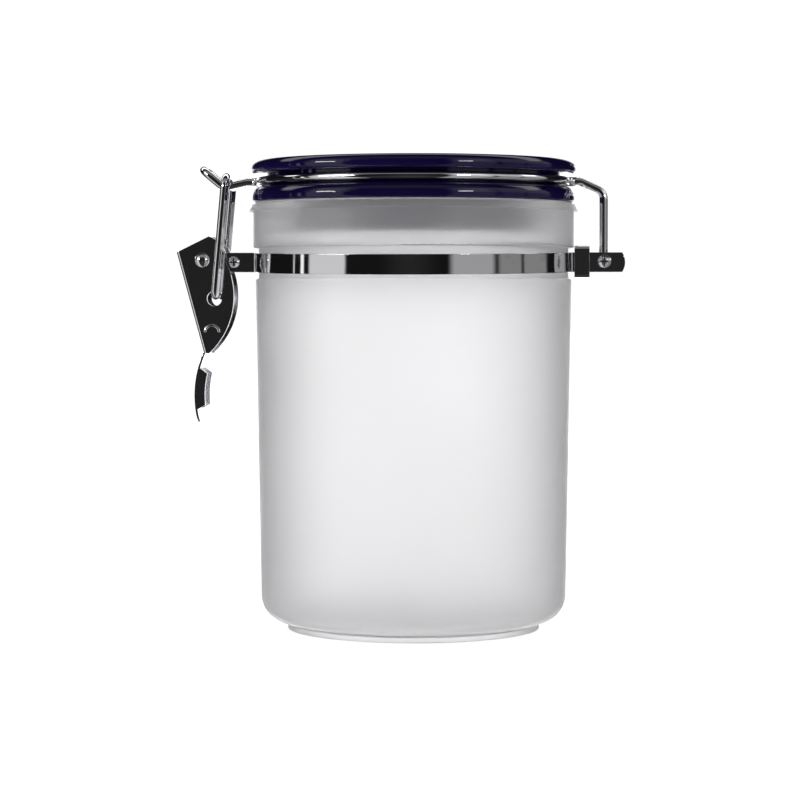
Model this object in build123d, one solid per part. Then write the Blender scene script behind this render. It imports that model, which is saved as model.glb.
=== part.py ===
from build123d import *
import math
import os

# Clamp-lid storage canister. Millimetres, +Z up, origin on the canister's axis
# at the underside of its foot ring. Latch at -X, hinge at +X.

# Canister body
WALL_R_LOW = 63.2
WALL_R_HIGH = 65.25
WALL_TOP_Z = 144.6
CORNER_R = 10.8
FOOT_R = 52.3
FOOT_WIDTH = 2.6
FOOT_HEIGHT = 2.9
RECESS_Z = 1.8
FLOOR_TOP_Z = 5.0
INNER_R_LOW = 60.2
INNER_R_HIGH = 61.3
INNER_CORNER_R = 8.5
GROOVE_R = 64.0
GROOVE_TOP_Z = 157.2
NECK_R = 66.2
NECK_INNER_R = 63.4
LIP_Z = 172.2
LIP_R = 67.9
RIM_R = 66.5
RIM_Z = 175.0
SHOULDER_FILLET = 1.1

# Lid
LID_GAP = 0.35
GASKET_T = 0.4
GASKET_R = 65.4
LID_RING_R = 66.9
LID_RING_TOP_Z = 182.3
LID_RING_EDGE_R = 4.2
LID_CORE_R = 60.6
LID_CAP_Z = 187.5
LID_CAP_R = 67.4
LID_CAP_EDGE_R = 3.2
LID_TOP_Z = 193.0
LID_WALL = 2.4
PLUG_R = 52.5
PLUG_Z = 163.0
FIT_GAP = 0.05

# Strap
STRAP_Z = 151.3
STRAP_HEIGHT = 8.0
STRAP_T = 1.0
STRAP_BEND_R = 2.0
STRAP_SAG = 1.5
STRAP_PLAY = 0.13
EAR_Y = 5.45
EAR_END_R = 7.4
HINGE_EAR_X = 87.3
LATCH_EAR_X = 92.4

# Hinge and latch hardware
HINGE_X = 78.8
HINGE_Z = 151.6
CLAMP_X = -74.2
CLAMP_Z = 151.4
PIVOT_X = -87.2
PIVOT_Z = 152.2
SLEEVE_R = 1.9
SLEEVE_BORE_R = 1.45
SCREW_R = 1.4
HEAD_R = 2.45
HINGE_HEAD_R = 2.75
HEAD_T = 1.5
DRIVE_W = 0.7
SPACER_R = 3.0
RUN_GAP = 0.05
COLLAR_X = 69.65
COLLAR_W = 6.2
COLLAR_H = 13.5
COLLAR_T = 0.8
COLLAR_BEND_R = 1.7

# Lid wire
WIRE_R = 1.75
RING_R = 63.5
RING_Z = 184.4
LEG_X = 78.4
LEG_Y = 2.95
LEG_TOP_Z = 180.0
LEG_BEND_R = 4.5
STRAND_X = 68.9
NOSE_Y = 4.5
KINK_X = -78.4
KINK_Z = 182.3
NOSE_TIP_X = -87.4
NOSE_TIP_Z = 189.7
NOSE_BEND_R = 5.0
RING_BEND_R = 4.0
EYE_R = 3.5
EYE_T = 2.6

# Link
LINK_X = -76.9
LINK_Z = 186.5
LINK_Y = 11.0
LINK_FOOT_X = -81.3
LINK_FOOT_Z = 137.6
LINK_TOP_BEND_R = 4.0
LINK_FOOT_BEND_R = 2.2
FOOT_GAP = 0.35

# Lever, sizes from its pivot in the closed position
LEVER_T = 1.0
LEVER_INNER_Y = 6.25
LEVER_TOP_X = -10.9
LEVER_TOP_Z = 3.2
LEVER_TAB_X = 0.3
LEVER_TAB_Z = -38.2
LEVER_NOSE_R = 10.2
LEVER_NOSE_HIGH = 75
LEVER_NOSE_LOW = -7
BELLY_X = 13.1
BELLY_Z = -13.0
BELLY_END_X = 2.6
BELLY_END_Z = -38.7
LEVER_BEND_R = 1.6
TAB_TIP_X = -1.9
TAB_TIP_Z = -68.0
TAB_BOW = 2.6
TAB_TIP_R = 5.0
FLANGE_L = 17.8
FLANGE_H = 3.4
FLANGE_RAISE = 3.0
FLANGE_END_SLOPE = 2.3
LEVER_HOLE_X = 5.0
LEVER_HOLE_Z = -15.9
LEVER_HOLE_R = 3.1
CRESCENT_X = 4.0
CRESCENT_Z = -29.8
CRESCENT_R = 2.9
CRESCENT_RIB_R = 0.6
CRESCENT_RISE = 0.25
RIVET_HEAD_R = 3.05
RIVET_HEAD_T = 1.45

EAR_OUTER_Y = EAR_Y + STRAP_T / 2
EAR_INNER_Y = EAR_Y - STRAP_T / 2
LEVER_OUTER_Y = LEVER_INNER_Y + LEVER_T


def revolved(profile):
    """Turn a closed (radius, height) outline on the XZ plane about the canister's axis."""
    return revolve(Plane.XZ * make_face(profile), axis=Axis.Z)


def across(x, z, radius, y_low, y_high):
    """A round bar parallel to Y."""
    plane = Plane(origin=(x, y_low, z), x_dir=(1, 0, 0), z_dir=(0, 1, 0))
    return extrude(plane * Circle(radius), y_high - y_low)


def tube_across(x, z, outer, inner, y_low, y_high):
    """A round tube parallel to Y."""
    plane = Plane(origin=(x, y_low, z), x_dir=(1, 0, 0), z_dir=(0, 1, 0))
    return extrude(plane * (Circle(outer) - Circle(inner)), y_high - y_low)


def canister_body():
    """Frosted body: foot ring, drafted wall, strap groove, neck and flared lip."""
    bottom_z = FOOT_HEIGHT
    corner_in = WALL_R_LOW - CORNER_R
    corner_z = bottom_z + CORNER_R
    diagonal = math.sqrt(0.5)
    inner_flat = INNER_R_LOW - INNER_CORNER_R
    inner_z = FLOOR_TOP_Z + INNER_CORNER_R
    outside = [
        Line((0, RECESS_Z), (FOOT_R - FOOT_WIDTH, RECESS_Z)),
        Line((FOOT_R - FOOT_WIDTH, RECESS_Z), (FOOT_R - FOOT_WIDTH, 0)),
        Line((FOOT_R - FOOT_WIDTH, 0), (FOOT_R, 0)),
        Line((FOOT_R, 0), (FOOT_R, bottom_z)),
        Line((FOOT_R, bottom_z), (corner_in, bottom_z)),
        ThreePointArc(
            (corner_in, bottom_z),
            (corner_in + CORNER_R * diagonal, corner_z - CORNER_R * diagonal),
            (WALL_R_LOW, corner_z),
        ),
        Line((WALL_R_LOW, corner_z), (WALL_R_HIGH, WALL_TOP_Z)),
        Line((WALL_R_HIGH, WALL_TOP_Z), (GROOVE_R, WALL_TOP_Z)),
        Line((GROOVE_R, WALL_TOP_Z), (GROOVE_R, GROOVE_TOP_Z)),
        Line((GROOVE_R, GROOVE_TOP_Z), (NECK_R, GROOVE_TOP_Z)),
        Line((NECK_R, GROOVE_TOP_Z), (NECK_R, LIP_Z)),
        Line((NECK_R, LIP_Z), (LIP_R, LIP_Z)),
        Line((LIP_R, LIP_Z), (RIM_R, RIM_Z)),
    ]
    inside = [
        Line((RIM_R, RIM_Z), (NECK_INNER_R, RIM_Z)),
        Line((NECK_INNER_R, RIM_Z), (NECK_INNER_R, GROOVE_TOP_Z + 1.5)),
        Line((NECK_INNER_R, GROOVE_TOP_Z + 1.5), (INNER_R_HIGH, GROOVE_TOP_Z - 1.0)),
        Line((INNER_R_HIGH, GROOVE_TOP_Z - 1.0), (INNER_R_LOW, inner_z)),
        ThreePointArc(
            (INNER_R_LOW, inner_z),
            (inner_flat + INNER_CORNER_R * diagonal, inner_z - INNER_CORNER_R * diagonal),
            (inner_flat, FLOOR_TOP_Z),
        ),
        Line((inner_flat, FLOOR_TOP_Z), (0, FLOOR_TOP_Z)),
        Line((0, FLOOR_TOP_Z), (0, RECESS_Z)),
    ]
    body = revolved(outside + inside)
    return rounded_rings(body, {WALL_TOP_Z: (WALL_R_HIGH, SHOULDER_FILLET), GROOVE_TOP_Z: (NECK_R, 0.7)})


def rounded_rings(solid, rings):
    """Round circular edges, each found by its height and radius."""
    for height, (radius, fillet_r) in rings.items():
        circles = solid.edges().filter_by(GeomType.CIRCLE)
        chosen = [
            edge
            for edge in circles
            if abs(edge.center().Z - height) < 0.01 and abs(edge.radius - radius) < 0.01
        ]
        solid = fillet(chosen, fillet_r)
    return solid


def lid_base():
    """Lower lid moulding: seal flange, wire groove core and the plug that hangs in the mouth."""
    flange_z = RIM_Z + LID_GAP + GASKET_T + FIT_GAP
    core_top = LID_CAP_Z - FIT_GAP
    outline = Polyline(
        (0, PLUG_Z),
        (PLUG_R - 1.5, PLUG_Z),
        (PLUG_R, PLUG_Z + 1.5),
        (PLUG_R, flange_z),
        (LID_RING_R, flange_z),
        (LID_RING_R, LID_RING_TOP_Z),
        (LID_CORE_R, LID_RING_TOP_Z),
        (LID_CORE_R, core_top),
        (LID_CORE_R - LID_WALL, core_top),
        (LID_CORE_R - LID_WALL, flange_z + LID_WALL),
        (PLUG_R - LID_WALL, flange_z + LID_WALL),
        (PLUG_R - LID_WALL, PLUG_Z + LID_WALL),
        (0, PLUG_Z + LID_WALL),
        close=True,
    )
    base = revolved(outline)
    base = rounded_rings(base, {LID_RING_TOP_Z: (LID_RING_R, LID_RING_EDGE_R)})
    return rounded_rings(base, {flange_z: (LID_RING_R, 1.2)})


def lid_cap():
    """Upper lid disc with a spigot that locates it inside the core."""
    spigot_r = LID_CORE_R - LID_WALL - 2 * FIT_GAP
    outline = Polyline(
        (0, LID_TOP_Z - LID_WALL),
        (spigot_r - LID_WALL, LID_TOP_Z - LID_WALL),
        (spigot_r - LID_WALL, LID_CAP_Z - 4),
        (spigot_r, LID_CAP_Z - 4),
        (spigot_r, LID_CAP_Z),
        (LID_CAP_R, LID_CAP_Z),
        (LID_CAP_R, LID_TOP_Z),
        (0, LID_TOP_Z),
        close=True,
    )
    cap = revolved(outline)
    cap = rounded_rings(cap, {LID_TOP_Z: (LID_CAP_R, LID_CAP_EDGE_R)})
    return rounded_rings(cap, {LID_CAP_Z: (LID_CAP_R, 1.6)})


def lid_gasket():
    """Flat seal between the lid's flange and the rim."""
    low = RIM_Z + LID_GAP
    inner = PLUG_R + FIT_GAP
    outline = Polyline(
        (inner, low), (GASKET_R, low), (GASKET_R, low + GASKET_T), (inner, low + GASKET_T), close=True
    )
    return revolved(outline)


def bend_centre(ring_r, offset, bend_r):
    """Distance along X of the bend that joins a ring to a straight run at a side offset."""
    return math.sqrt((ring_r + bend_r) ** 2 - (offset + bend_r) ** 2)


def ring_path(ring_r, right, left, bend_r, z):
    """Half ring on the -Y side, from the bend at +X to the bend at -X."""
    right_x = bend_centre(ring_r, right, bend_r)
    left_x = bend_centre(ring_r, left, bend_r)
    scale = ring_r / (ring_r + bend_r)
    right_touch = (right_x * scale, -(right + bend_r) * scale, z)
    left_touch = (-left_x * scale, -(left + bend_r) * scale, z)
    right_mid = bend_middle(right_x, right, bend_r, z)
    left_mid = bend_middle(left_x, left, bend_r, z)
    return [
        ThreePointArc((right_x, -right, z), right_mid, right_touch),
        ThreePointArc(right_touch, (0, -ring_r, z), left_touch),
        ThreePointArc(left_touch, (-left_mid[0], left_mid[1], z), (-left_x, -left, z)),
    ]


def bend_middle(centre_x, offset, bend_r, z):
    """Middle point of a bend between a straight run and the ring, on the +X side."""
    centre_y = -(offset + bend_r)
    toward_axis = math.atan2(-centre_y, -centre_x)
    middle = (toward_axis + math.pi / 2) / 2
    return (centre_x + bend_r * math.cos(middle), centre_y + bend_r * math.sin(middle), z)


def strap_half():
    """Front strap half: a loose band that hangs lowest at its middle, with an ear at each end."""
    ring_r = GROOVE_R + STRAP_PLAY + STRAP_T / 2
    bend_x = bend_centre(ring_r, EAR_Y, STRAP_BEND_R)
    edges = [Line((HINGE_EAR_X, -EAR_Y, STRAP_Z), (bend_x, -EAR_Y, STRAP_Z))]
    ear_line = Axis((0, -EAR_Y, STRAP_Z), (1, 0, 0))
    lean = math.degrees(math.asin(STRAP_SAG / (ring_r - EAR_Y)))
    for edge in ring_path(ring_r, EAR_Y, EAR_Y, STRAP_BEND_R, STRAP_Z):
        edges.append(edge.rotate(ear_line, lean))
    edges += [Line((-bend_x, -EAR_Y, STRAP_Z), (-LATCH_EAR_X, -EAR_Y, STRAP_Z))]
    path = Wire(edges)
    plane = Plane(origin=(HINGE_EAR_X, -EAR_Y, STRAP_Z), x_dir=(0, 0, 1), z_dir=(-1, 0, 0))
    band = sweep(plane * Rectangle(STRAP_HEIGHT, STRAP_T), path=path)
    return band & ear_silhouette()


def ear_silhouette():
    """Side silhouette of the strap with its bowed ear ends."""
    low = STRAP_Z - STRAP_HEIGHT
    high = STRAP_Z + STRAP_HEIGHT
    bow = EAR_END_R - math.sqrt(EAR_END_R**2 - (STRAP_HEIGHT / 2) ** 2)
    span = Plane.XZ * make_face(
        Polyline(
            (-LATCH_EAR_X + bow, low), (HINGE_EAR_X - bow, low), (HINGE_EAR_X - bow, high),
            (-LATCH_EAR_X + bow, high), close=True,
        )
    )
    middle = extrude(span, GROOVE_R * 2, both=True)
    reach = GROOVE_R
    hinge_end = across(HINGE_EAR_X - EAR_END_R, STRAP_Z, EAR_END_R, -reach, reach)
    latch_end = across(-LATCH_EAR_X + EAR_END_R, STRAP_Z, EAR_END_R, -reach, reach)
    return middle + hinge_end + latch_end


def drilled_strap(half):
    """Drill the ears for the hinge sleeve, the clamp sleeve and the lever rivet."""
    holes = [
        across(HINGE_X, HINGE_Z, SLEEVE_R + RUN_GAP, -EAR_OUTER_Y - 1, EAR_OUTER_Y + 1),
        across(CLAMP_X, CLAMP_Z, SLEEVE_R + RUN_GAP, -EAR_OUTER_Y - 1, EAR_OUTER_Y + 1),
        across(PIVOT_X, PIVOT_Z, SLEEVE_R + RUN_GAP, -EAR_OUTER_Y - 1, EAR_OUTER_Y + 1),
    ]
    return half - holes


def strap_collar():
    """Sheet loop round the two hinge ears."""
    inner_w = 2 * (EAR_OUTER_Y + RUN_GAP)
    inner_h = COLLAR_H - 2 * COLLAR_T
    inner_r = COLLAR_BEND_R - COLLAR_T
    plane = Plane(origin=(COLLAR_X - COLLAR_W / 2, 0, STRAP_Z), x_dir=(0, 1, 0), z_dir=(1, 0, 0))
    outer = RectangleRounded(inner_w + 2 * COLLAR_T, COLLAR_H, COLLAR_BEND_R)
    inner = RectangleRounded(inner_w, inner_h, inner_r)
    return extrude(plane * (outer - inner), COLLAR_W)


def dome_head(x, z, radius, height, y_face, outward):
    """Low dome head standing on a face that looks along Y."""
    sphere_r = (radius**2 + height**2) / (2 * height)
    centre_y = y_face + outward * (height - sphere_r)
    ball = Pos(x, centre_y, z) * Sphere(sphere_r)
    if outward < 0:
        slab = across(x, z, radius, y_face - height, y_face)
    else:
        slab = across(x, z, radius, y_face, y_face + height)
    return ball & slab


def cross_drive(x, z, y_top, radius, depth, outward):
    """Cross recess cutter for a screw head."""
    arm = 2 * radius * 0.62
    inner = y_top - outward * depth
    centre_y = (y_top + inner) / 2
    return Pos(x, centre_y, z) * (Box(arm, depth, DRIVE_W) + Box(DRIVE_W, depth, arm))


def clamp_screw(x, z, head_r):
    """Pan-head screw in the front ear, threaded into the sleeve nut."""
    head_face = -EAR_OUTER_Y - FIT_GAP
    head = dome_head(x, z, head_r, HEAD_T, head_face, -1)
    head -= cross_drive(x, z, head_face - HEAD_T, head_r, 0.9, -1)
    shank = across(x, z, SCREW_R, head_face, EAR_INNER_Y - 1)
    return head + shank


def sleeve_nut(x, z, head_r):
    """Sleeve nut: a dome head outside the rear ear and a bored sleeve through both ears."""
    head_face = EAR_OUTER_Y + FIT_GAP
    head = dome_head(x, z, head_r, HEAD_T, head_face, 1)
    head -= Pos(x, head_face + HEAD_T, z) * Box(2 * head_r, 0.9, DRIVE_W)
    sleeve = tube_across(x, z, SLEEVE_R, SLEEVE_BORE_R, -EAR_OUTER_Y, head_face)
    return head + sleeve


def spacer(x, z, reach):
    """Tube on a sleeve between two ears."""
    return tube_across(x, z, SPACER_R, SLEEVE_R + RUN_GAP, -reach, reach)


def mirrored_pair(half):
    """A half on the -Y side joined to its mirror image."""
    return half + mirror(half, about=Plane.XZ)


def round_sweep(edges, start, direction):
    """Sweep the wire's round section along a path."""
    plane = Plane(origin=start, z_dir=direction)
    return sweep(plane * Circle(WIRE_R), path=Wire(edges))


def lid_wire():
    """One bent wire: hinge legs with eyes, a ring round the lid's groove and a hairpin nose."""
    right_x = bend_centre(RING_R, LEG_Y, RING_BEND_R)
    left_x = bend_centre(RING_R, NOSE_Y, RING_BEND_R)
    foot = (LEG_X, -LEG_Y, HINGE_Z + EYE_R)
    leg_edges = FilletPolyline(
        foot,
        (LEG_X, -LEG_Y, LEG_TOP_Z),
        (STRAND_X, -LEG_Y, RING_Z),
        (right_x, -LEG_Y, RING_Z),
        radius=LEG_BEND_R,
    ).edges()
    ring_edges = ring_path(RING_R, LEG_Y, NOSE_Y, RING_BEND_R, RING_Z)
    nose_x = -left_x - 2.0
    rise = math.atan2(NOSE_TIP_Z - KINK_Z, KINK_X - NOSE_TIP_X)
    back = NOSE_Y
    tip_x = NOSE_TIP_X + back * math.cos(rise)
    tip_z = NOSE_TIP_Z - back * math.sin(rise)
    nose_edges = FilletPolyline(
        (-left_x, -NOSE_Y, RING_Z),
        (nose_x, -NOSE_Y, RING_Z),
        (KINK_X, -NOSE_Y, KINK_Z),
        (tip_x, -NOSE_Y, tip_z),
        radius=NOSE_BEND_R,
    ).edges()
    quarter = math.sqrt(0.5)
    mid = (
        tip_x - back * quarter * math.cos(rise),
        -NOSE_Y * quarter,
        tip_z + back * quarter * math.sin(rise),
    )
    hairpin = ThreePointArc((tip_x, -NOSE_Y, tip_z), mid, (NOSE_TIP_X, 0, NOSE_TIP_Z))
    edges = list(leg_edges) + ring_edges + list(nose_edges) + [hairpin]
    half = round_sweep(edges, foot, (0, 0, 1))
    half += across(HINGE_X, HINGE_Z, EYE_R, -LEG_Y - EYE_T / 2, -LEG_Y + EYE_T / 2)
    half += Pos(LEG_X, -LEG_Y, HINGE_Z + EYE_R) * Box(2 * WIRE_R, EYE_T, EYE_R)
    half -= across(HINGE_X, HINGE_Z, SLEEVE_R + RUN_GAP, -EAR_INNER_Y, 0)
    return mirrored_pair(half)


def latch_link():
    """Wire loop that hooks over the nose and hangs down both sides of the lever."""
    tip_y = LEVER_OUTER_Y + FOOT_GAP
    points = [
        (LINK_FOOT_X, -tip_y, LINK_FOOT_Z),
        (LINK_FOOT_X, -LINK_Y, LINK_FOOT_Z),
        (LINK_X, -LINK_Y, LINK_Z),
        (LINK_X, 0, LINK_Z),
    ]
    bent = FilletPolyline(*points, radius=(LINK_FOOT_BEND_R, LINK_TOP_BEND_R))
    half = round_sweep(list(bent.edges()), points[0], (0, -1, 0))
    return mirrored_pair(half)


def lever_outline():
    """Side outline of the lever's cheeks round the pivot."""
    top = (LEVER_TOP_X, LEVER_TOP_Z)
    tab = (LEVER_TAB_X, LEVER_TAB_Z)
    end = (BELLY_END_X, BELLY_END_Z)
    pivot = Vector(0, 0)
    nose_top = on_circle(pivot, LEVER_NOSE_R, math.radians(LEVER_NOSE_HIGH))
    nose_mid = on_circle(pivot, LEVER_NOSE_R, math.radians((LEVER_NOSE_HIGH + LEVER_NOSE_LOW) / 2))
    nose_low = on_circle(pivot, LEVER_NOSE_R, math.radians(LEVER_NOSE_LOW))
    return [
        Line(top, nose_top),
        ThreePointArc(nose_top, nose_mid, nose_low),
        ThreePointArc(nose_low, (BELLY_X, BELLY_Z), end),
        Line(end, tab),
        Line(tab, top),
    ]


def lever_tab():
    """Finger tab: a bowed strip with turned-in side flanges, carried on from the web."""
    start = (LEVER_TAB_X, LEVER_TAB_Z)
    tip = (TAB_TIP_X, TAB_TIP_Z)
    bow = ((start[0] + tip[0]) / 2 - TAB_BOW, (start[1] + tip[1]) / 2)
    outer = ThreePointArc(start, bow, tip)
    inner = ThreePointArc(
        (start[0] + LEVER_T, start[1]), (bow[0] + LEVER_T, bow[1]), (tip[0] + LEVER_T, tip[1])
    )
    strip = make_face([outer, inner, Line(start, inner @ 0), Line(tip, inner @ 1)])
    tab = extrude(Plane.XZ * strip, LEVER_OUTER_Y, both=True)
    height = start[1] - tip[1]
    side = Plane(origin=(bow[0] - 5, 0, 0), x_dir=(0, 1, 0), z_dir=(1, 0, 0))
    face = Pos(0, tip[1] + 1.5 * height) * RectangleRounded(2 * LEVER_OUTER_Y, 3 * height, TAB_TIP_R)
    tab &= extrude(side * face, 20)
    flange = extrude(Plane.XZ * flange_face(outer), LEVER_OUTER_Y, both=True)
    flange -= Pos(0, 0, bow[1]) * Box(60, 2 * LEVER_INNER_Y, 60)
    return tab + flange


def flange_face(arc):
    """Side outline of the tab's flanges, with sloped ends, on the inside of the tab's arc."""
    centre = arc.arc_center
    root_r = arc.radius - LEVER_T / 2
    top_r = arc.radius - LEVER_T - FLANGE_H
    root_span = FLANGE_L / 2 / root_r
    top_span = (FLANGE_L / 2 - FLANGE_END_SLOPE) / top_r
    middle = math.pi - FLANGE_RAISE / arc.radius
    root = [on_circle(centre, root_r, middle + turn * root_span) for turn in (-1, 0, 1)]
    top = [on_circle(centre, top_r, middle + turn * top_span) for turn in (-1, 0, 1)]
    return make_face(
        [ThreePointArc(*root), ThreePointArc(*top), Line(root[0], top[0]), Line(root[2], top[2])]
    )


def on_circle(centre, radius, angle):
    """Point on a circle in the sketch plane."""
    return (centre.X + radius * math.cos(angle), centre.Y + radius * math.sin(angle))


def crescent(y):
    """Pressed crescent rib on a cheek, with its open side down."""
    start = (CRESCENT_X - CRESCENT_R, y, CRESCENT_Z)
    end = (CRESCENT_X + CRESCENT_R, y, CRESCENT_Z)
    arc = ThreePointArc(start, (CRESCENT_X, y, CRESCENT_Z + CRESCENT_R), end)
    plane = Plane(origin=start, z_dir=(0, 0, 1))
    return sweep(plane * Circle(CRESCENT_RIB_R), path=Wire([arc]))


def lever():
    """Sheet channel lever: a web on the outer side, two cheeks and a finger tab."""
    outline = make_face(lever_outline())
    solid = extrude(Plane.XZ * outline, LEVER_OUTER_Y, both=True)
    web_dir = Vector(LEVER_TAB_X - LEVER_TOP_X, 0, LEVER_TAB_Z - LEVER_TOP_Z)
    long_edges = [
        edge
        for edge in solid.edges().filter_by(GeomType.LINE)
        if (edge % 0).cross(web_dir).length < 0.01 * web_dir.length
    ]
    solid = fillet(long_edges, LEVER_BEND_R)
    inward = Vector(-web_dir.Z, 0, web_dir.X) / web_dir.length * LEVER_T
    far = Vector(web_dir.X, 0, web_dir.Z) * 0.5
    first = Vector(LEVER_TOP_X, 0, LEVER_TOP_Z) + inward - far
    second = Vector(LEVER_TAB_X, 0, LEVER_TAB_Z) + inward + far
    hollow = make_face(
        Polyline(
            (first.X, first.Z), (second.X, second.Z), (second.X + 40, second.Z), (first.X + 40, first.Z),
            close=True,
        )
    )
    solid -= extrude(Plane.XZ * hollow, LEVER_INNER_Y, both=True)
    solid += lever_tab()
    rib_y = LEVER_OUTER_Y + CRESCENT_RISE - CRESCENT_RIB_R
    solid += [crescent(-rib_y), crescent(rib_y)]
    solid -= across(LEVER_HOLE_X, LEVER_HOLE_Z, LEVER_HOLE_R, -LEVER_OUTER_Y - 1, LEVER_OUTER_Y + 1)
    solid -= across(0, 0, SLEEVE_R + FIT_GAP / 2, -LEVER_OUTER_Y - 1, LEVER_OUTER_Y + 1)
    return Pos(PIVOT_X, 0, PIVOT_Z) * solid


def lever_rivet():
    """Rivet with a dome head outside each cheek."""
    face = LEVER_OUTER_Y + FIT_GAP / 2
    shank = across(PIVOT_X, PIVOT_Z, SLEEVE_R, -face, face)
    front = dome_head(PIVOT_X, PIVOT_Z, RIVET_HEAD_R, RIVET_HEAD_T, -face, -1)
    rear = dome_head(PIVOT_X, PIVOT_Z, RIVET_HEAD_R, RIVET_HEAD_T, face, 1)
    return shank + front + rear


def build_nodes():
    """Every named piece of the canister."""
    half = strap_half()
    between_ears = EAR_INNER_Y - FIT_GAP
    between_eyes = LEG_Y - EYE_T / 2 - RUN_GAP * 2
    return {
        "canister_body": canister_body(),
        "lid_base": lid_base(),
        "lid_cap": lid_cap(),
        "lid_gasket": lid_gasket(),
        "lid_wire": lid_wire(),
        "strap_front_half": drilled_strap(half),
        "strap_rear_half": drilled_strap(mirror(half, about=Plane.XZ)),
        "strap_collar": strap_collar(),
        "hinge_screw": clamp_screw(HINGE_X, HINGE_Z, HINGE_HEAD_R),
        "hinge_nut": sleeve_nut(HINGE_X, HINGE_Z, HINGE_HEAD_R),
        "hinge_spacer": spacer(HINGE_X, HINGE_Z, between_eyes),
        "latch_screw": clamp_screw(CLAMP_X, CLAMP_Z, HEAD_R),
        "latch_nut": sleeve_nut(CLAMP_X, CLAMP_Z, HEAD_R),
        "latch_spacer": spacer(CLAMP_X, CLAMP_Z, between_ears),
        "lever": lever(),
        "lever_rivet": lever_rivet(),
        "pivot_spacer": spacer(PIVOT_X, PIVOT_Z, EAR_INNER_Y - 0.3),
        "latch_link": latch_link(),
    }


os.makedirs("parts", exist_ok=True)
for name, solid in build_nodes().items():
    export_step(solid, f"parts/{name}.step")
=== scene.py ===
import logging
import math
from dataclasses import dataclass
from enum import Enum
from typing import Any, Callable, Dict, Mapping, Optional, Sequence, Tuple, Union

import bpy
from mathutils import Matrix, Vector

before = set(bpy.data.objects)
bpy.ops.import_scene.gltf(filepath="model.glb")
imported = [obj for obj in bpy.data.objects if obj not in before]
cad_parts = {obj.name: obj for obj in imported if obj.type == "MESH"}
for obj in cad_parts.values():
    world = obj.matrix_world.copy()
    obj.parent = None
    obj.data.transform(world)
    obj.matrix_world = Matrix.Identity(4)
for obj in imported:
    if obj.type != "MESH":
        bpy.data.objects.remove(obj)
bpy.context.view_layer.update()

LOG = logging.getLogger("canister")
MM = 0.001

# Socket numbers of the Mix node in its colour form, whose socket names repeat.
MIX_SHARE = 0
MIX_FIRST = 6
MIX_SECOND = 7
MIX_RESULT = 2

Colour = Tuple[float, float, float]
Point = Tuple[float, float, float]
Span = Tuple[float, float]

WHITE: Colour = (1.0, 1.0, 1.0)
EVEN: Point = (1.0, 1.0, 1.0)


class Slot(Enum):
    """Material slots of the record."""

    FROSTED = "frosted_plastic"
    LID = "lid_plastic"
    SEAL = "seal_rubber"
    WIRE = "wire_steel"
    STRAP = "strap_steel"
    LEVER = "lever_steel"
    SCREW = "screw_steel"


class Value:
    """A number socket on which Python arithmetic adds Math nodes."""

    def __init__(self, graph: "Graph", socket: bpy.types.NodeSocket) -> None:
        """Wrap a socket.

        Args:
            graph: The node graph that new nodes are added to.
            socket: The output socket that carries the number.
        """
        self.graph = graph
        self.socket = socket

    def math(self, operation: str, *others: "Operand") -> "Value":
        """Add one Math node with this value as its first input.

        Args:
            operation: Blender's name of the operation.
            others: The second and third inputs, where it has them.

        Returns:
            The result as a new value.
        """
        inputs = {0: self}
        inputs.update({at: other for at, other in enumerate(others, start=1)})
        made = self.graph.node("ShaderNodeMath", {"operation": operation}, inputs)
        return Value(self.graph, made.outputs[0])

    def __add__(self, other: "Operand") -> "Value":
        """Sum."""
        return self.math("ADD", other)

    __radd__ = __add__

    def __sub__(self, other: "Operand") -> "Value":
        """Difference."""
        return self.math("SUBTRACT", other)

    def __rsub__(self, other: float) -> "Value":
        """Number minus value."""
        return (self * -1.0) + other

    def __mul__(self, other: "Operand") -> "Value":
        """Product."""
        return self.math("MULTIPLY", other)

    __rmul__ = __mul__

    def __abs__(self) -> "Value":
        """Size without sign."""
        return self.math("ABSOLUTE")

    def step(self, low: "Operand", high: "Operand") -> "Value":
        """Smooth step from 0 at low to 1 at high.

        Args:
            low: Where the step starts.
            high: Where the step ends.

        Returns:
            The stepped value.
        """
        settings = {"interpolation_type": "SMOOTHSTEP"}
        inputs = {"Value": self, "From Min": low, "From Max": high}
        return Value(self.graph, self.graph.node("ShaderNodeMapRange", settings, inputs).outputs[0])

    def within(self, low: float, high: float, soft: float) -> "Value":
        """Mask that is 1 between two limits, with soft edges.

        Args:
            low: Lower limit.
            high: Upper limit.
            soft: Half width of each edge.

        Returns:
            The mask.
        """
        return self.step(low - soft, low + soft) * (1.0 - self.step(high - soft, high + soft))


Operand = Union[Value, float]


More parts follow.
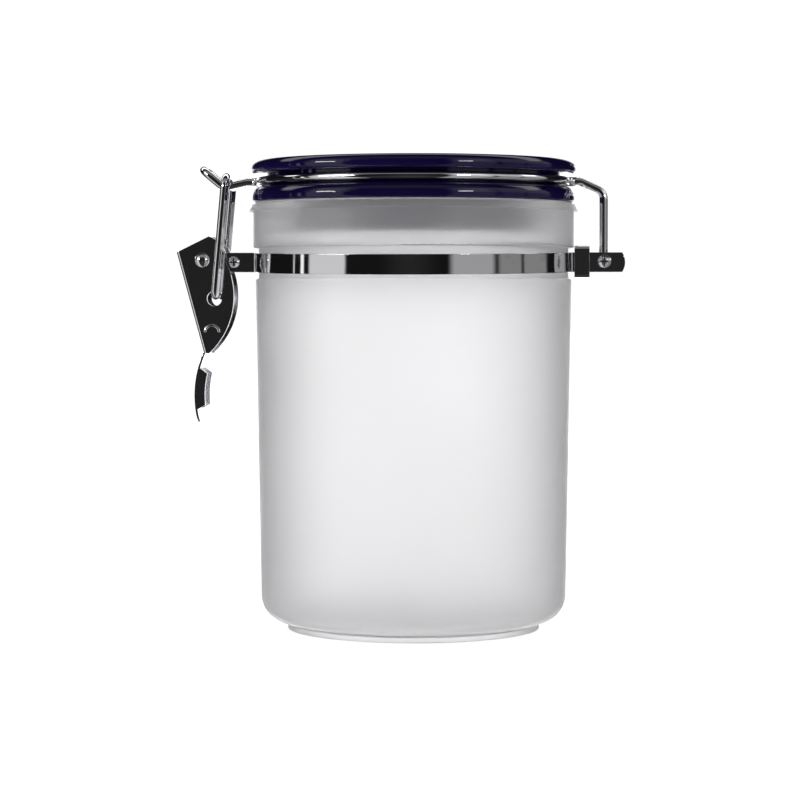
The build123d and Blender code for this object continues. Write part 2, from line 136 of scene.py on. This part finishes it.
class Graph:
    """A node tree that is filled through one method."""

    def __init__(self, tree: bpy.types.NodeTree) -> None:
        """Empty a node tree and keep it.

        Args:
            tree: The tree of a material or a world.
        """
        tree.nodes.clear()
        self.tree = tree

    def node(
        self, kind: str, settings: Mapping[str, Any], inputs: Mapping[Union[str, int], Any]
    ) -> bpy.types.Node:
        """Add a node, set it up, then give its sockets values or links.

        Args:
            kind: Blender's type name of the node.
            settings: Attributes to set first.
            inputs: Socket name or number to a number, colour, value or output socket.

        Returns:
            The new node.
        """
        made = self.tree.nodes.new(kind)
        for name, setting in settings.items():
            setattr(made, name, setting)
        for name, given in inputs.items():
            socket = made.inputs[name]
            if isinstance(given, Value):
                self.tree.links.new(given.socket, socket)
            elif isinstance(given, bpy.types.NodeSocket):
                self.tree.links.new(given, socket)
            elif socket.type == "RGBA":
                socket.default_value = (*given, 1.0)
            else:
                socket.default_value = given
        return made

    def place(self, scale: Point = EVEN) -> bpy.types.NodeSocket:
        """Object coordinates, stretched along each axis.

        Args:
            scale: Factor along X, Y and Z.

        Returns:
            The vector socket.
        """
        coordinates = self.node("ShaderNodeTexCoord", {}, {}).outputs["Object"]
        return self.node("ShaderNodeMapping", {}, {"Vector": coordinates, "Scale": scale}).outputs[0]

    def axes(self, vector: bpy.types.NodeSocket) -> Tuple[Value, ...]:
        """The three numbers of a vector.

        Args:
            vector: The vector socket.

        Returns:
            X, Y and Z as values.
        """
        split = self.node("ShaderNodeSeparateXYZ", {}, {0: vector})
        return tuple(Value(self, out) for out in split.outputs)

    def noise(
        self, scale: float, detail: float = 2.0, stretch: Point = EVEN, rough: float = 0.5
    ) -> Value:
        """Noise over the object's own coordinates.

        Args:
            scale: Features per metre.
            detail: Number of finer layers.
            stretch: Factor along X, Y and Z before the noise.
            rough: Share that the finer layers keep.

        Returns:
            The noise, about 0.5 on average.
        """
        inputs = {"Vector": self.place(stretch), "Scale": scale, "Detail": detail, "Roughness": rough}
        return Value(self, self.node("ShaderNodeTexNoise", {}, inputs).outputs[0])

    def blend(self, share: Value, first: Colour, second: Colour) -> bpy.types.NodeSocket:
        """Mix two colours.

        Args:
            share: Share of the second colour.
            first: First colour.
            second: Second colour.

        Returns:
            The mixed colour's socket.
        """
        inputs = {MIX_SHARE: share, MIX_FIRST: first, MIX_SECOND: second}
        return self.node("ShaderNodeMix", {"data_type": "RGBA"}, inputs).outputs[MIX_RESULT]

    def soft_edges(self, radius: float, samples: int = 6) -> bpy.types.NodeSocket:
        """Normal with hard edges rolled over.

        Args:
            radius: Radius of the roll in metres.
            samples: Rays that look for an edge.

        Returns:
            The normal's socket.
        """
        return self.node("ShaderNodeBevel", {"samples": samples}, {"Radius": radius}).outputs[0]

    def bump(
        self,
        height: Value,
        strength: float,
        distance: float,
        base: Optional[bpy.types.NodeSocket] = None,
    ) -> bpy.types.NodeSocket:
        """Surface relief from a height.

        Args:
            height: Height, 0 to 1.
            strength: Strength of the relief.
            distance: Height in metres that 1 stands for.
            base: Normal that the relief stands on, where it isn't the surface's own.

        Returns:
            The normal's socket.
        """
        inputs = {"Height": height, "Strength": strength, "Distance": distance}
        if base is not None:
            inputs["Normal"] = base
        return self.node("ShaderNodeBump", {}, inputs).outputs[0]


def make_material(
    name: str, kind: str, inputs: Callable[[Graph], Mapping[str, Any]]
) -> bpy.types.Material:
    """Make a material of one shader.

    Args:
        name: Name of the material.
        kind: Blender's type name of the shader.
        inputs: Gives the shader's sockets from the material's graph.

    Returns:
        The new material.
    """
    made = bpy.data.materials.new(name)
    made.use_nodes = True
    graph = Graph(made.node_tree)
    shader = graph.node(kind, {}, inputs(graph))
    graph.node("ShaderNodeOutputMaterial", {}, {0: shader.outputs[0]})
    return made


@dataclass(frozen=True)
class Finish:
    """A named material that stands for one slot of the record."""

    name: str
    slot: Slot

    def material(self) -> bpy.types.Material:
        """Find the material, or make it.

        Returns:
            The finished material.
        """
        found = bpy.data.materials.get(self.name)
        return found or make_material(self.name, "ShaderNodeBsdfPrincipled", self.inputs)

    def inputs(self, graph: Graph) -> Dict[str, Any]:
        """Values of the shader's sockets; each finish gives its own."""
        raise NotImplementedError

    def apply(self, piece: bpy.types.Object) -> None:
        """Dress a piece in this finish.

        Args:
            piece: The mesh object.
        """
        piece.data.materials.clear()
        piece.data.materials.append(self.material())


@dataclass(frozen=True)
class FrostedPlastic(Finish):
    """Clear plastic with a fine frosted skin that glows with the light behind it."""

    colour: Colour = (0.985, 0.98, 0.99)
    cloud: Colour = (0.97, 0.965, 0.97)
    cloud_scale: float = 18.0
    cloud_span: Span = (0.3, 0.75)
    cloud_rough: float = 0.08
    clear: float = 0.88
    refraction: float = 1.46
    rough: float = 0.38
    grain_scale: float = 2600.0
    grain_rough: float = 0.10
    etch: float = 0.10
    etch_depth: float = 0.1 * MM

    def inputs(self, graph: Graph) -> Dict[str, Any]:
        """Milky base with soft clouds, part see-through, with an etched grain."""
        clouds = graph.noise(self.cloud_scale, detail=3.0)
        grain = graph.noise(self.grain_scale)
        uneven = (grain - 0.5) * self.grain_rough
        return {
            "Base Color": graph.blend(clouds.step(*self.cloud_span), self.colour, self.cloud),
            "Roughness": self.rough + uneven + (clouds - 0.5) * self.cloud_rough,
            "IOR": self.refraction,
            "Transmission Weight": self.clear,
            "Normal": graph.bump(grain, self.etch, self.etch_depth),
        }


@dataclass(frozen=True)
class GlossPlastic(Finish):
    """Deep glossy moulded plastic with faint handling marks."""

    colour: Colour = (0.005, 0.0025, 0.030)
    haze: Colour = (0.008, 0.005, 0.042)
    haze_scale: float = 30.0
    haze_span: Span = (0.35, 0.8)
    haze_rough: float = 0.03
    rough: float = 0.05
    refraction: float = 1.5
    shine: float = 0.45
    wipe_scale: float = 900.0
    wipe_stretch: Point = (0.12, 1.0, 1.0)
    wipe_span: Span = (0.62, 0.75)
    wipe_rough: float = 0.06
    ripple_scale: float = 55.0
    ripple: float = 0.02
    ripple_depth: float = 0.4 * MM

    def inputs(self, graph: Graph) -> Dict[str, Any]:
        """Dark base, light haze, hairline wipe marks in the gloss and a faint ripple."""
        haze = graph.noise(self.haze_scale, detail=4.0)
        wipes = graph.noise(self.wipe_scale, stretch=self.wipe_stretch)
        ripple = graph.noise(self.ripple_scale, detail=1.0)
        marks = wipes.step(*self.wipe_span) * self.wipe_rough
        return {
            "Base Color": graph.blend(haze.step(*self.haze_span), self.colour, self.haze),
            "Roughness": self.rough + marks + (haze - 0.5) * self.haze_rough,
            "IOR": self.refraction,
            "Specular IOR Level": self.shine,
            "Normal": graph.bump(ripple, self.ripple, self.ripple_depth),
        }


@dataclass(frozen=True)
class PlatedSteel(Finish):
    """Bright plated steel with drawn or rolled lines and tiny pits."""

    colour: Colour = (0.86, 0.86, 0.88)
    stain: Colour = (0.70, 0.68, 0.66)
    stain_scale: float = 70.0
    stain_span: Span = (0.58, 0.85)
    stain_rough_span: Span = (0.55, 0.8)
    stain_rough: float = 0.08
    rough: float = 0.06
    lines: Point = EVEN
    line_scale: float = 2400.0
    line_rough: float = 0.04
    line_depth: float = 0.01
    pit_scale: float = 1500.0
    pit_span: Span = (0.74, 0.8)
    pit_depth: float = 0.02
    wave_scale: float = 110.0
    wave: float = 0.04
    relief: float = 0.35
    relief_depth: float = 0.3 * MM
    edge: float = 0.3 * MM

    def inputs(self, graph: Graph) -> Dict[str, Any]:
        """Metal base with faint stains, fine lines along the stock and a slight waviness."""
        stains = graph.noise(self.stain_scale, detail=4.0, rough=0.6)
        lines = graph.noise(self.line_scale, stretch=self.lines)
        pits = graph.noise(self.pit_scale, detail=1.0).step(*self.pit_span)
        waves = graph.noise(self.wave_scale, detail=1.0)
        height = lines * self.line_depth + pits * self.pit_depth + waves * self.wave
        uneven = (lines - 0.5) * self.line_rough
        stained = stains.step(*self.stain_rough_span) * self.stain_rough
        edges = graph.soft_edges(self.edge)
        return {
            "Base Color": graph.blend(stains.step(*self.stain_span), self.colour, self.stain),
            "Metallic": 1.0,
            "Roughness": self.rough + uneven + stained,
            "Normal": graph.bump(height, self.relief, self.relief_depth, edges),
        }


@dataclass(frozen=True)
class SealRubber(Finish):
    """Grey silicone with a dusty skin."""

    colour: Colour = (0.60, 0.60, 0.62)
    dust: Colour = (0.74, 0.74, 0.75)
    bloom_scale: float = 220.0
    bloom_span: Span = (0.4, 0.8)
    bloom_rough: float = 0.2
    rough: float = 0.5
    relief: float = 0.1
    relief_depth: float = 0.1 * MM

    def inputs(self, graph: Graph) -> Dict[str, Any]:
        """Soft grey with a dusty bloom."""
        bloom = graph.noise(self.bloom_scale, detail=3.0)
        return {
            "Base Color": graph.blend(bloom.step(*self.bloom_span), self.colour, self.dust),
            "Roughness": self.rough + (bloom - 0.5) * self.bloom_rough,
            "Normal": graph.bump(bloom, self.relief, self.relief_depth),
        }


FROSTED = FrostedPlastic("frosted_clear_plastic", Slot.FROSTED)
NAVY = GlossPlastic("navy_lid_plastic", Slot.LID)
SILICONE = SealRubber("grey_silicone", Slot.SEAL)
WIRE = PlatedSteel("plated_wire", Slot.WIRE, rough=0.05, lines=(1.0, 1.0, 0.2))
STRIP = PlatedSteel("plated_strip", Slot.STRAP, rough=0.04, lines=(0.05, 0.05, 1.0), wave=0.02)
COLLAR = PlatedSteel("plated_collar", Slot.STRAP, rough=0.09, lines=(0.2, 0.2, 1.0), wave=0.35)
SHEET = PlatedSteel(
    "plated_sheet", Slot.LEVER, rough=0.13, lines=(0.3, 1.0, 0.3), line_depth=0.005, wave=0.15
)
TURNED = PlatedSteel("plated_screws", Slot.SCREW, rough=0.08, lines=(1.0, 0.3, 1.0))


def dress(names: Sequence[str], finish: Finish) -> None:
    """Dress CAD nodes, whose shape is already right, in one finish.

    Args:
        names: Names of the nodes.
        finish: The finish they share.
    """
    for name in names:
        finish.apply(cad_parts[name])
        LOG.info("dressed %s in %s", name, finish.name)


@dataclass
class Vessel:
    """The frosted canister."""

    shell: str = "canister_body"

    def build(self) -> None:
        """Dress the canister."""
        dress([self.shell], FROSTED)


@dataclass
class Lid:
    """The two lid mouldings and the seal."""

    mouldings: Tuple[str, ...] = ("lid_base", "lid_cap")
    seal: str = "lid_gasket"

    def build(self) -> None:
        """Dress the lid."""
        dress(self.mouldings, NAVY)
        dress([self.seal], SILICONE)


@dataclass
class Bail:
    """The lid wire and the link."""

    wires: Tuple[str, ...] = ("lid_wire", "latch_link")

    def build(self) -> None:
        """Dress the bent wires."""
        dress(self.wires, WIRE)


@dataclass
class Strap:
    """The strap halves, the collar round the hinge ears, and the screws through the ears."""

    halves: Tuple[str, ...] = ("strap_front_half", "strap_rear_half")
    collar: str = "strap_collar"
    ears: Tuple[str, ...] = ("hinge", "latch")
    hardware: Tuple[str, ...] = ("screw", "nut", "spacer")

    def build(self) -> None:
        """Dress the strip and its screws."""
        dress(self.halves, STRIP)
        dress([self.collar], COLLAR)
        for ear in self.ears:
            dress([f"{ear}_{part}" for part in self.hardware], TURNED)


@dataclass
class Lever:
    """The over-centre lever with its rivet and spacer."""

    channel: str = "lever"
    pivot: Tuple[str, ...] = ("lever_rivet", "pivot_spacer")

    def build(self) -> None:
        """Dress the lever and its pivot."""
        dress([self.channel], SHEET)
        dress(self.pivot, TURNED)


@dataclass(frozen=True)
class Softbox:
    """An oblong soft light aimed at the canister.

    Azimuth is measured in degrees from the camera's side, positive to the right.
    """

    name: str
    azimuth: float
    elevation: float
    width: float
    height: float
    power: float
    distance: float = 2.0
    aim_height: float = 0.17

    def build(self, turn: float) -> None:
        """Make the light.

        Args:
            turn: Azimuth of the camera, in degrees.
        """
        data = bpy.data.lights.new(self.name, "AREA")
        data.shape = "RECTANGLE"
        data.size = self.width
        data.size_y = self.height
        data.energy = self.power
        lamp = bpy.data.objects.new(self.name, data)
        bpy.context.scene.collection.objects.link(lamp)
        around = math.radians(self.azimuth + turn)
        up = math.radians(self.elevation)
        level = math.cos(up)
        toward = Vector((math.sin(around) * level, -math.cos(around) * level, math.sin(up)))
        lamp.location = toward * self.distance + Vector((0.0, 0.0, self.aim_height))
        lamp.rotation_euler = (-toward).to_track_quat("-Z", "Y").to_euler()


@dataclass(frozen=True)
class Wall:
    """An upright stripe of the surround.

    It runs between two azimuths in degrees from the camera's side, positive to the right.
    """

    name: str
    low: float
    high: float
    soft: float
    level: float = 0.0
    upper: float = 0.0

    def light(self, around: Value, level_band: Value, upper_band: Value) -> Value:
        """Light of the stripe.

        Args:
            around: Azimuth of the direction looked in.
            level_band: Mask of the directions at the canister's own height and below.
            upper_band: Mask of the directions higher up.

        Returns:
            The light that the stripe adds, which is less than none for a dark seam.
        """
        bands = level_band * self.level + upper_band * self.upper
        return around.within(self.low, self.high, self.soft) * bands


@dataclass(frozen=True)
class Overhead:
    """A lit strip across the surround, above the canister.

    It runs between two rises in degrees, where 0 is toward the camera and 90 straight up, and
    fades in over a span of heights, each a direction's Z.
    """

    name: str
    low: float
    high: float
    soft: float
    fade: Span
    strength: float

    def light(self, rise: Value, height: Value) -> Value:
        """Light of the strip.

        Args:
            rise: Rise of the direction looked in.
            height: Z of that direction.

        Returns:
            The light that the strip adds.
        """
        return rise.within(self.low, self.high, self.soft) * height.step(*self.fade) * self.strength


@dataclass
class Studio:
    """Pale floor and dome, soft lights and a surround with lit and dark parts for the bright metal."""

    turn: float = 4.3
    floor_reach: float = 8.0
    floor_drop: float = 0.2 * MM
    floor_colour: Colour = (0.93, 0.93, 0.935)
    floor_patch: Colour = (0.95, 0.95, 0.955)
    floor_patch_scale: float = 3.0
    floor_rough: float = 0.9
    floor_glow: float = 0.72
    dome_radius: float = 14.0
    dome_segments: int = 48
    dome_rings: int = 24
    dome_patch: Colour = (0.98, 0.98, 0.985)
    dome_patch_scale: float = 0.4
    dome_glow: float = 1.05
    dark: float = 0.006
    level_top: Span = (0.05, 0.16)
    upper_top: Span = (0.5, 0.7)
    front: Tuple[float, float, float] = (-16.0, 10.0, 12.0)
    front_glow: float = 0.012
    below_top: Span = (-0.5, 0.1)
    below_glow: float = 0.02
    backdrop_edge: Span = (154.0, 166.0)
    backdrop_top: Span = (0.25, 0.5)
    backdrop_glow: float = 1.93
    walls: Tuple[Wall, ...] = (
        Wall("left wall", -81.0, -50.0, 1.5, level=0.62),
        Wall("left panel", -78.0, -48.0, 9.0, upper=0.9),
        Wall("left rim", -89.0, -86.0, 0.8, level=1.0),
        Wall("far left rim", -97.0, -95.5, 0.5, level=0.6),
        Wall("right wall", 27.0, 60.0, 3.0, level=0.34),
        Wall("right panel", 30.0, 60.0, 9.0, upper=0.9),
        Wall("far right wall", 64.0, 112.0, 2.5, level=0.22, upper=0.5),
        Wall("far right seam", 84.0, 87.0, 0.8, level=-0.17),
    )
    overheads: Tuple[Overhead, ...] = (
        Overhead("ceiling", 106.0, 128.0, 4.0, (0.3, 0.5), 1.8),
        Overhead("skylight", 36.0, 74.0, 6.0, (0.4, 0.6), 0.2),
    )
    boxes: Tuple[Softbox, ...] = (
        Softbox("left_strip", -57.0, 12.0, 1.0, 0.1, 7.0),
        Softbox("right_strip", 36.0, 12.0, 0.34, 0.09, 2.2),
    )

    def build(self) -> None:
        """Make the floor, the dome, the surround and the soft lights."""
        self.floor()
        self.cyclorama()
        self.surround()
        for box in self.boxes:
            box.build(self.turn)
            LOG.info("light %s", box.name)

    def floor(self) -> None:
        """A large pale floor just under the foot."""
        bpy.ops.object.select_all(action="DESELECT")
        bpy.ops.mesh.primitive_plane_add(
            size=2 * self.floor_reach, location=(0.0, 0.0, -self.floor_drop)
        )
        floor = bpy.context.object
        floor.name = "floor"
        bpy.ops.object.transform_apply(location=True, rotation=True, scale=True)
        material = make_material("pale_floor", "ShaderNodeBsdfPrincipled", self.floor_inputs)
        floor.data.materials.append(material)
        floor.visible_glossy = False
        LOG.info("floor ready")

    def floor_inputs(self, graph: Graph) -> Dict[str, Any]:
        """Matt pale paper, lit a little from within."""
        patches = graph.noise(self.floor_patch_scale, detail=3.0)
        return {
            "Base Color": graph.blend(patches, self.floor_colour, self.floor_patch),
            "Roughness": self.floor_rough,
            "Emission Color": self.floor_colour,
            "Emission Strength": self.floor_glow,
        }

    def cyclorama(self) -> None:
        """A pale dome behind everything, which lights nothing and shows in no reflection."""
        bpy.ops.object.select_all(action="DESELECT")
        bpy.ops.mesh.primitive_uv_sphere_add(
            segments=self.dome_segments, ring_count=self.dome_rings, radius=self.dome_radius
        )
        dome = bpy.context.object
        dome.name = "cyclorama"
        dome.data.materials.append(make_material("pale_dome", "ShaderNodeEmission", self.dome_inputs))
        dome.visible_diffuse = False
        dome.visible_glossy = False
        dome.visible_transmission = False
        dome.visible_shadow = False
        LOG.info("dome ready")

    def dome_inputs(self, graph: Graph) -> Dict[str, Any]:
        """An even white glow."""
        patches = graph.noise(self.dome_patch_scale)
        return {"Color": graph.blend(patches, WHITE, self.dome_patch), "Strength": self.dome_glow}

    def surround(self) -> None:
        """World light: a white backdrop, lit strips overhead, and dark sides with lit walls."""
        world = bpy.data.worlds.new("studio")
        bpy.context.scene.world = world
        world.use_nodes = True
        graph = Graph(world.node_tree)
        direction = graph.node("ShaderNodeTexCoord", {}, {}).outputs["Generated"]
        x, y, height = graph.axes(direction)
        toward_camera = y * -1.0
        around = x.math("ARCTAN2", toward_camera) * math.degrees(1.0) - self.turn
        rise = height.math("ARCTAN2", toward_camera) * math.degrees(1.0)
        above = height.step(*self.level_top)
        level_band = 1.0 - above
        upper_band = above * (1.0 - height.step(*self.upper_top))
        light = around.within(*self.front) * self.front_glow + self.dark
        light = light + (1.0 - height.step(*self.below_top)) * self.below_glow
        behind = abs(around).step(*self.backdrop_edge) * (1.0 - height.step(*self.backdrop_top))
        light = light + behind * self.backdrop_glow
        for wall in self.walls:
            light = light + wall.light(around, level_band, upper_band)
        for strip in self.overheads:
            light = light + strip.light(rise, height)
        shown = graph.node("ShaderNodeBackground", {}, {"Color": WHITE, "Strength": light})
        graph.node("ShaderNodeOutputWorld", {}, {0: shown.outputs[0]})
        LOG.info("surround of %s", ", ".join(part.name for part in self.walls + self.overheads))


@dataclass
class View:
    """The camera: a long lens a little toward the hinge side, just below the strap."""

    distance: float = 1.050
    azimuth: float = 4.3
    height: float = 0.139
    tilt: float = 2.44
    turn: float = 0.306
    lens: float = 113.9
    sensor: float = 36.0

    def build(self) -> None:
        """Make the camera and the plain colour transform."""
        data = bpy.data.cameras.new("camera")
        data.lens = self.lens
        data.sensor_width = self.sensor
        camera = bpy.data.objects.new("camera", data)
        bpy.context.scene.collection.objects.link(camera)
        angle = math.radians(self.azimuth)
        across = self.distance * math.sin(angle)
        away = self.distance * math.cos(angle)
        camera.location = (across, -away, self.height)
        pitch = math.radians(90.0 - self.tilt)
        camera.rotation_euler = (pitch, 0.0, math.radians(self.azimuth + self.turn))
        bpy.context.scene.camera = camera
        bpy.context.scene.view_settings.view_transform = "Standard"


def main() -> None:
    """Build every sub-assembly in order, then the studio and the camera."""
    logging.basicConfig(level=logging.INFO, format="%(name)s: %(message)s")
    for assembly in (Vessel(), Lid(), Bail(), Strap(), Lever(), Studio(), View()):
        assembly.build()


if __name__ == "__main__":
    main()
